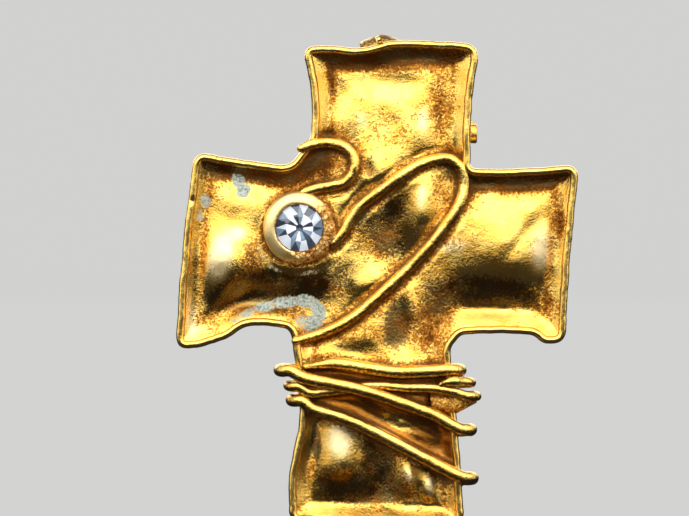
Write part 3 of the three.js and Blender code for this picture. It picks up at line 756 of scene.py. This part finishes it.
def faceted_stone(materials):
    """Eight-sided chaton cut: table, star and bezel facets over a foiled pavilion, whose foils are painted
    reflections.
    """
    top, tip, girdle = 4.2, 1.0, 3.14
    points = ring_of(8, 1.62, top, 22.5) + ring_of(16, girdle, 3.36) + ring_of(16, girdle, 3.22)
    points += ring_of(16, 1.85, 2.0, 6) + ring_of(16, 0.5, tip + 0.1, 4)
    points += [(STONE[0], STONE[1], top), (STONE[0], STONE[1], tip)]
    high, low, waist, culet, table_mid, culet_mid = 8, 24, 40, 56, 72, 73    # where each ring starts
    crown, side, back, foils = [], [], [], []
    for i in range(8):                              # table corner i lies over girdle point 2i + 1
        after, a, b, c = (i + 1) % 8, *(high + (2 * i + k) % 16 for k in (1, 2, 3))
        crown += [(table_mid, i, after), (i, a, b), (i, b, after), (after, b, c)]
    for i in range(16):
        after = (i + 1) % 16
        side.append((high + i, low + i, low + after, high + after))
        for outer, inner in ((low, waist), (waist, culet)):
            back += [(outer + i, inner + i, outer + after), (outer + after, inner + i, inner + after)]
        back.append((culet + i, culet_mid, culet + after))
        a, b, c = SPARKLE_OUT[i], SPARKLE_OUT[(i + 5) % 16], SPARKLE_IN[i]
        foils += [int(foil) for foil in (a, b, c, c, DARK_FOIL)]
    build("cut_stone", points, [np.array(crown), np.array(back), np.array(side)], materials,
          "glass_stone", shades=[0] * len(crown) + foils + [0] * len(side))


# ---- bail
# Radius of the hole, at the belly and at the ends, and half the width
BAIL_HOLE, BAIL_BELLY, BAIL_END, BAIL_HALF = 3.02, 3.8, 3.16, 2.9


def bail():
    end, inner, lip = BAIL_HALF, BAIL_HOLE, BAIL_END - 0.02
    belly = [(BAIL_END + (BAIL_BELLY - BAIL_END) * math.cos(t * math.pi / 2) ** 0.8, end * 0.96 * t)
             for t in np.linspace(-1, 1, 23)[1:-1]]
    profile = [(lip, -end * 0.97), *belly, (lip, end * 0.97), (BAIL_END - 0.08, end), (inner + 0.1, end),
               (inner + 0.02, end - 0.04), (inner, end - 0.12), (inner, 0.0), (inner, 0.12 - end),
               (inner + 0.02, 0.04 - end), (inner + 0.1, -end), (BAIL_END - 0.08, -end)]
    points, faces = solid(turned(profile, circle(120), 0, (0, 0, BACK_Y)), closed=True)
    radial = np.hypot(points[:, 1], points[:, 2] - BACK_Y)
    out = np.column_stack([0 * radial, points[:, 1] / radial, (points[:, 2] - BACK_Y) / radial])
    outside = smooth(radial, 3.1, 3.3)
    dents = 0.03 * noise(points, 1.6, 160) + 0.018 * noise(points, 0.7, 161)
    points = points + out * (outside * dents)[:, None]
    crest = np.clip(points[:, 1] / radial, 0, 1) ** 6 * bell(points[:, 0] - 0.2, 1.7)
    points = points + out * (outside * 0.38 * crest)[:, None]
    seam = bell(points[:, 2] + 0.1, 0.5)
    patina = 0.15 + 0.5 * seam + 0.3 * (1 - outside) + 0.25 * octaves(points, 2.2, 162)
    # Painted shadow over the whole bail, darkest on its top crest
    build("bail_loop", points, faces, [FITTING_GILT], "bail_barrel",
          marks=aged(patina, 0.3, 0.5, tarnish=0.42 + 0.4 * crest))


# ---- pin fitting on the back
# Middle of the rivet, and the pin's tip
PIN_X, PIN_Y, PIN_Z, PIN_TIP_X = -7.0, -9.3, -1.7, 12.55


def disc(x, radius):
    """A soldered foot: a thin disc with a meniscus of solder round its root."""
    top, bottom = 0.12, -0.46
    profile = [(0.02, top), (radius + 0.16, top), (radius + 0.14, 0.02), (radius + 0.03, -0.08),
               (radius, -0.18), (radius, -0.38), (radius - 0.05, -0.44), (radius - 0.14, bottom),
               (0.02, bottom)]
    return solid(turned(profile, circle(56), 2, (x, PIN_Y, 0)), closed=True)


def ear(y_low, y_high):
    """One upright plate of the hinge, pierced for the rivet and square at its root."""
    c, s = np.cos(circle(72)), np.sin(circle(72))     # s points away from the plate
    reach, hole, root = 1.1, 0.43, -PIN_Z - 0.3
    squared = np.minimum(root / np.maximum(-s, 1e-6), reach / np.maximum(np.abs(c), 1e-6))
    ring = np.column_stack([c, -s])
    return pierced_plate(hole * ring, np.where(s < 0, squared, reach)[:, None] * ring, y_low, y_high, 0.07)


def fitting(name, replaces, solids, seed, material, body="cross"):
    points, faces = joined(*solids)
    patina = 0.1 + 0.3 * octaves(points, 1.6, seed) + 0.35 * bell(points[:, 2], 0.35)
    build(name, points, faces, [material], replaces, body, aged(patina, 0.15, 0.5))


def rivet():
    r, half = 0.4, 1.3
    profile = [(0.02, -half), (0.22, -half + 0.01), (r - 0.04, -half + 0.06), (r, -half + 0.14),
               (r, half - 0.14), (r - 0.04, half - 0.06), (0.22, half - 0.01), (0.02, half)]
    return solid(turned(profile, circle(40), 1, (PIN_X, PIN_Y, PIN_Z)), closed=True)


def pin():
    ring = np.column_stack([np.cos(circle(64)), np.sin(circle(64))])
    eye = pierced_plate(0.485 * ring, ring, -0.45, 0.45, 0.1)
    root, length = [0.74, 0.8, 0.95], PIN_TIP_X - PIN_X
    along = np.hstack([root, np.linspace(1.2, length - 5, 30), np.linspace(length - 4.8, length, 40)])
    taper = np.clip((length - along) / 5, 0, 1)
    radius = 0.06 + 0.34 * taper**0.75
    radius[:2] = (0.3, 0.37)
    stem = turned(np.column_stack([radius, along]), circle(28), 0, (PIN_X, PIN_Y, PIN_Z))
    return eye, solid(stem.transpose(1, 0, 2))


def open_ring(outer, inner, half_mouth, start, end):
    """A split ring round the pin's line, with its mouth facing away from the plate."""
    turn = np.radians(np.linspace(-90 + half_mouth, 270 - half_mouth, 72))
    bevel = 0.12
    section = [(inner, start + bevel), (inner + bevel, start), (outer - bevel, start), (outer, start + bevel),
               (outer, end - bevel), (outer - bevel, end), (inner + bevel, end), (inner, end - bevel)]
    return solid(turned(section, turn, 0, (0, PIN_Y, PIN_Z)))


def roller_tab():
    """The roller's thumb tab, leaning down as it leaves the ring."""
    lean, angle = math.radians(35), circle(24)
    start, end, root, reach, half = 10.9, 12.4, 0.72, 2.2, 0.25
    share = np.linspace(0, 1, 12)[:, None]
    grow = 1 - 0.35 * smooth(share, 0.8, 1.0)
    out = root + (reach - root) * share
    across = np.copysign(np.abs(np.cos(angle)) ** 0.35, np.cos(angle))
    thick = half * grow * np.copysign(np.abs(np.sin(angle)) ** 0.5, np.sin(angle))
    return solid(np.stack([(start + end) / 2 + (end - start) / 2 * grow * across,
                           PIN_Y + out * math.cos(lean) + thick * math.sin(lean),
                           PIN_Z - out * math.sin(lean) + thick * math.cos(lean)], -1))


# ---- materials
class Shading:
    """A material and short calls for its nodes. A value is a number, a colour or a node's output."""

    def __init__(self, name):
        self.material = bpy.data.materials.new(name)
        self.material.use_nodes = True
        self.tree = self.material.node_tree
        self.place = self.node("ShaderNodeTexCoord", {}, "Object")

    def put(self, socket, value):
        if isinstance(value, tuple):
            socket.default_value = (*value, 1.0)
        elif isinstance(value, (int, float)):
            socket.default_value = value
        else:
            self.tree.links.new(value, socket)

    def node(self, kind, inputs, output=0, **settings):
        made = self.tree.nodes.new(kind)
        for key, value in settings.items():
            setattr(made, key, value)
        for key, value in inputs.items():
            self.put(made.inputs[key], value)
        return made.outputs[output]

    def shade(self, inputs):
        for key, value in inputs.items():
            self.put(self.tree.nodes["Principled BSDF"].inputs[key], value)
        return self.material

    def math(self, operation, *values, **settings):
        return self.node("ShaderNodeMath", dict(enumerate(values)), operation=operation, **settings)

    def times(self, value, factor, plus=None):
        if plus is None:
            return self.math("MULTIPLY", value, factor)
        return self.math("MULTIPLY_ADD", value, factor, plus)

    def noise(self, size_mm, detail, roughness=0.55, distortion=0.0):
        inputs = {"Vector": self.place, "Scale": 1.0 / (size_mm * MM), "Detail": detail,
                  "Roughness": roughness, "Distortion": distortion}
        return self.node("ShaderNodeTexNoise", inputs, "Fac")

    def band(self, value, low, high):
        """From 0 to 1 as the value goes from low to high."""
        inputs = {"Value": value, "From Min": low, "From Max": high}
        return self.node("ShaderNodeMapRange", inputs, "Result", interpolation_type="SMOOTHSTEP")

    def mix(self, share, a, b):
        return self.node("ShaderNodeMix", {"Factor": share, "A": a, "B": b}, "Result", data_type="RGBA")

    def mark(self, name):
        """One of the marks stored with the mesh."""
        return self.node("ShaderNodeAttribute", {}, "Fac", attribute_name=name)

    def bump(self, height, distance_mm, strength, **below):
        inputs = {"Height": height, "Distance": distance_mm * MM, "Strength": strength, **below}
        return self.node("ShaderNodeBump", inputs)


GOLD, PALE_GOLD, COPPERY = (1.0, 0.56, 0.09), (1.0, 0.66, 0.145), (1.0, 0.6, 0.36)
DARK_BROWN, AMBER, SOOT = (0.24, 0.055, 0.004), (0.74, 0.25, 0.015), (0.075, 0.024, 0.006)
# GLARE_TINT is the colour of the painted glare
GLARE_TINT = (1.0, 0.85, 0.5)
DARK_CRUST, PALE_CRUST = (0.13, 0.155, 0.11), (0.5, 0.55, 0.48)


def gilt(name, gold=GOLD, pale=PALE_GOLD, tarnished=((0.23, 0.08, 0.014), (0.19, 0.135, 0.045)),
         base_rough=0.15, grain=1.0, shift=0.0):
    """Antiqued gilding: bright where it stands proud, brown and grainy in the recesses, with painted shade
    and painted glare where the marks ask for them.
    """
    s = Shading(name)
    broad = s.noise(2.4, 2)
    middle = s.noise(0.6, 4, 0.6, 0.3)
    fine = s.noise(0.32, 4, 0.68, 0.4)
    dust = s.noise(0.08, 2, 0.6)
    calm = s.mark("calm")
    loose = s.times(calm, -0.8, 1.0)

    def frayed(value, middle_share, fine_share, low, high):
        """The value with noise added, less in calm places, and a mask of it."""
        fray = s.times(s.math("SUBTRACT", fine, 0.5), fine_share)
        fray = s.times(s.math("SUBTRACT", middle, 0.5), middle_share, fray)
        value = s.times(fray, loose, value)
        return value, s.band(value, low, high)

    ragged, patina = frayed(s.math("ADD", s.mark("patina"), shift), 1.8, 3.4, 0.42, 0.76)
    deep = s.band(ragged, 0.92, 1.35)
    # Painted shade, dark brown to olive, where that mark asks for it
    _, tarnish = frayed(s.mark("tarnish"), 0.8, 2.0, 0.24, 0.62)
    # Painted glare: a pale tint where that mark asks for it, a little rougher and less metallic
    painted_glare = s.times(s.band(s.mark("painted_glare"), 0.1, 0.8), s.math("SUBTRACT", 1.0, patina))
    green = s.mark("verdigris")
    green = s.times(frayed(green, 1.3, 1.6, 0.12, 0.66)[1], s.band(green, 0.02, 0.3))

    brown = s.mix(s.times(s.band(middle, 0.35, 0.7), s.mark("grain")), DARK_BROWN, AMBER)
    # Colours of the painted shade
    dark = s.mix(s.band(broad, 0.3, 0.7), *tarnished)
    crust = s.mix(s.band(fine, 0.34, 0.62), DARK_CRUST, PALE_CRUST)
    colour = s.mix(s.band(broad, 0.35, 0.65), gold, pale)
    colour = s.mix(s.times(s.band(middle, 0.58, 0.72), 0.3), colour, COPPERY)
    for mask, share, tint in ((patina, 0.85, brown), (deep, 0.85, SOOT), (painted_glare, 0.7, GLARE_TINT),
                              (tarnish, 0.88, dark)):
        colour = s.mix(s.times(mask, share), colour, tint)
    roughness = base_rough
    for mask, share in ((patina, 0.16), (painted_glare, 0.1), (calm, -0.1), (deep, 0.2), (dust, 0.1)):
        roughness = s.times(mask, share, roughness)
    satin = s.math("MAXIMUM", s.times(painted_glare, 0.16), s.mark("satin"))
    relief = s.bump(s.times(middle, 0.3, fine), 0.2 * grain, s.times(s.mark("grain"), 0.9, 0.1))
    return s.shade({
        "Base Color": s.mix(green, colour, crust),
        "Roughness": s.math("MULTIPLY_ADD", green, 0.45, roughness, use_clamp=True),
        "Metallic": s.math("SUBTRACT", 1.0, s.math("MAXIMUM", green, satin)),
        "Normal": s.bump(dust, 0.02, 0.5, Normal=relief)})


# glow is painted light: the foil gives off light of its own
def foil(name, colour, roughness, metallic, glow=0.0):
    s = Shading(name)
    blots = s.noise(0.5, 4, 0.6)
    dull = tuple(c * 0.55 for c in colour)
    return s.shade({
        "Base Color": s.mix(s.band(blots, 0.5, 0.75), colour, dull),
        "Roughness": s.times(blots, 0.2, roughness - 0.1), "Metallic": metallic,
        "Emission Color": colour, "Emission Strength": glow, "Normal": s.bump(blots, 0.02, 0.4)})


def clear_glass():
    """Thin clear glass: see-through face on, mirror-like where it is seen at a low angle."""
    s = Shading("cut_glass")
    cloud = s.noise(0.9, 3)
    return s.shade({
        "Base Color": s.mix(cloud, (0.92, 0.96, 1.0), (1.0, 1.0, 1.0)), "Metallic": 1.0,
        "Roughness": s.times(cloud, 0.04), "Alpha": s.node("ShaderNodeFresnel", {"IOR": 1.75})})


GILT = gilt("antiqued_gilt", base_rough=0.14)
RIM_GILT = gilt("rim_gilt", gold=(1.0, 0.66, 0.16), base_rough=0.2)
COLLAR_GILT = gilt("collar_gilt", gold=(1.0, 0.7, 0.22), pale=(1.0, 0.76, 0.3), base_rough=0.25)
WIRE_GILT = gilt("wire_gilt", gold=(1.0, 0.61, 0.12), pale=(1.0, 0.68, 0.17),
                 tarnished=((0.25, 0.08, 0.01), (0.2, 0.12, 0.03)), base_rough=0.2)
FITTING_GILT = gilt("fitting_gilt", base_rough=0.24, grain=0.6)
PIN_STEEL = gilt("pin_steel", gold=(0.86, 0.78, 0.58), pale=(0.8, 0.76, 0.66), base_rough=0.2, grain=0.25,
                 shift=-0.35)
# Lit and shaded copies of one foil, as painted reflections; the bright and middling ones glow
FOILS = [foil("foil_glint_painted", (0.92, 0.94, 0.98), 0.5, 0.1, 0.45),
         foil("foil_shadow_painted", (0.09, 0.11, 0.14), 0.3, 0.6),
         foil("foil_halftone_painted", (0.3, 0.4, 0.5), 0.4, 0.3, 0.2)]

hammered_plate()
rim_strip()
wire("curl_of_wire", resample(CURL, 0.22), CURL_RADIUS, 0.2, 0.1, 100, "curl_wire")
wire("loop_of_wire", resample(LOOP, 0.25), LOOP_RADIUS, 0.1, 0.2, 110, "loop_wire")
wire("long_binding", resample(LONG_PATH, 0.3), LONG_RADIUS, 0.5, 0.1, 120, "binding_wire_long")
web = solder_web([(6.4, -43.9), (9.6, -44.1), (12.7, -44.6)], [(6.6, -46.4), (9.4, -47), (12.6, -45.3)])
wire("short_binding", resample(SHORT_PATH, 0.28), SHORT_RADIUS, 0.4, 0.1, 130, "binding_wire_short", [web])
stone_cup()
faceted_stone([clear_glass(), *FOILS])
bail()
fitting("hinge_ears", "hinge_base", [disc(PIN_X, 1.75), ear(0.6, 1.1), ear(-1.1, -0.6)], 170, FITTING_GILT)
fitting("hinge_pin", "hinge_rivet", [rivet()], 175, FITTING_GILT)
fitting("brooch_pin", "pin_stem", pin(), 180, PIN_STEEL, "pin")
fitting("catch_hook", "catch_housing", [disc(10.35, 1.55), open_ring(1.3, 0.95, 80, 10.5, 12.8)], 185,
        FITTING_GILT)
fitting("catch_barrel", "catch_roller", [open_ring(0.89, 0.55, 35, 10.6, 12.7), roller_tab()], 190,
        FITTING_GILT, "catch_lock")


# ---- studio
CENTRE = Vector((-0.005, -0.006, -0.02597))
VIEW_DISTANCE, VIEW_WIDTH, SENSOR_MM, CAMERA_ELEVATION = 0.4, 0.0919, 36.0, 1.0
STUDIO_RADIUS, FLOOR_GAP = 1.6, 0.0004
# Name, azimuth, elevation, distance, width, height, brightness
SOFT_BOXES = [
    ("front", 0, 19, 0.8, 1.9, 0.3, 2.2), ("high", 0, 43, 0.8, 1.9, 0.46, 3),
    ("over", 0, 82, 0.8, 1.3, 0.6, 1.6), ("left", -84, 18, 0.85, 0.7, 0.7, 1.6),
    ("right", 84, 18, 0.85, 0.7, 0.7, 1.6), ("rear", 180, 24, 0.9, 1.7, 0.6, 2),
]


def place(obj, azimuth, elevation, distance):
    """Aims a light or camera at the cross. Azimuth 0 is in front of it, and 90 at its right."""
    a, e = math.radians(azimuth), math.radians(elevation)
    away = Vector((math.sin(a) * math.cos(e), -math.cos(a) * math.cos(e), math.sin(e)))
    obj.location = CENTRE + away * distance
    obj.rotation_euler = (-away).to_track_quat("-Z", "Y").to_euler()


def camera():
    data = bpy.data.cameras.new("camera")
    data.sensor_width = SENSOR_MM
    data.lens = SENSOR_MM * VIEW_DISTANCE / VIEW_WIDTH
    bpy.context.scene.camera = added("camera", data)
    place(bpy.context.scene.camera, 0, CAMERA_ELEVATION, VIEW_DISTANCE)


def soft_box(name, azimuth, elevation, distance, width, height, radiance):
    data = bpy.data.lights.new(name, "AREA")
    data.shape, data.size, data.size_y = "RECTANGLE", width, height
    data.energy = radiance * math.pi * width * height
    obj = added(name, data)
    obj.visible_camera = False
    place(obj, azimuth, elevation, distance)


def stage_mesh(name, points, faces, base, glow):
    mesh = bpy.data.meshes.new(name)
    mesh.from_pydata(points, [], faces)
    mesh.materials.append(Shading("pale_" + name).shade({
        "Base Color": (base, base, base), "Roughness": 0.9, "Specular IOR Level": 0.0,
        "Emission Color": (1.0, 1.0, 0.99), "Emission Strength": glow}))
    obj = added(name, mesh)
    obj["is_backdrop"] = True
    return obj


def studio():
    scene = bpy.context.scene
    scene.world = bpy.data.worlds.new("studio")
    scene.world.use_nodes = True
    scene.world.node_tree.nodes["Background"].inputs["Color"].default_value = (0.036, 0.034, 0.045, 1)
    low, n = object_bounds()[0].z - FLOOR_GAP, 64
    ring = [(STUDIO_RADIUS * math.cos(a), STUDIO_RADIUS * math.sin(a)) for a in circle(n)]
    floor = stage_mesh("floor", [(x, y, low) for x, y in ring], [tuple(range(n))], 0.01, 0.637)
    points = [(x, y, z) for z in (low, 2.0) for x, y in ring] + [(0, 0, 2.4)]
    faces = [(i, (i + 1) % n, n + (i + 1) % n, n + i) for i in range(n)]
    faces += [(n + i, n + (i + 1) % n, 2 * n) for i in range(n)]
    surround = stage_mesh("surround", points, faces, 0.0, 0.64)
    for obj in (floor, surround):
        obj.visible_glossy = obj.visible_transmission = False
    surround.visible_diffuse = surround.visible_shadow = False
    for name, *numbers in SOFT_BOXES:
        soft_box(name + "_box", *numbers)
    scene.view_settings.view_transform = "Standard"


camera()
studio()
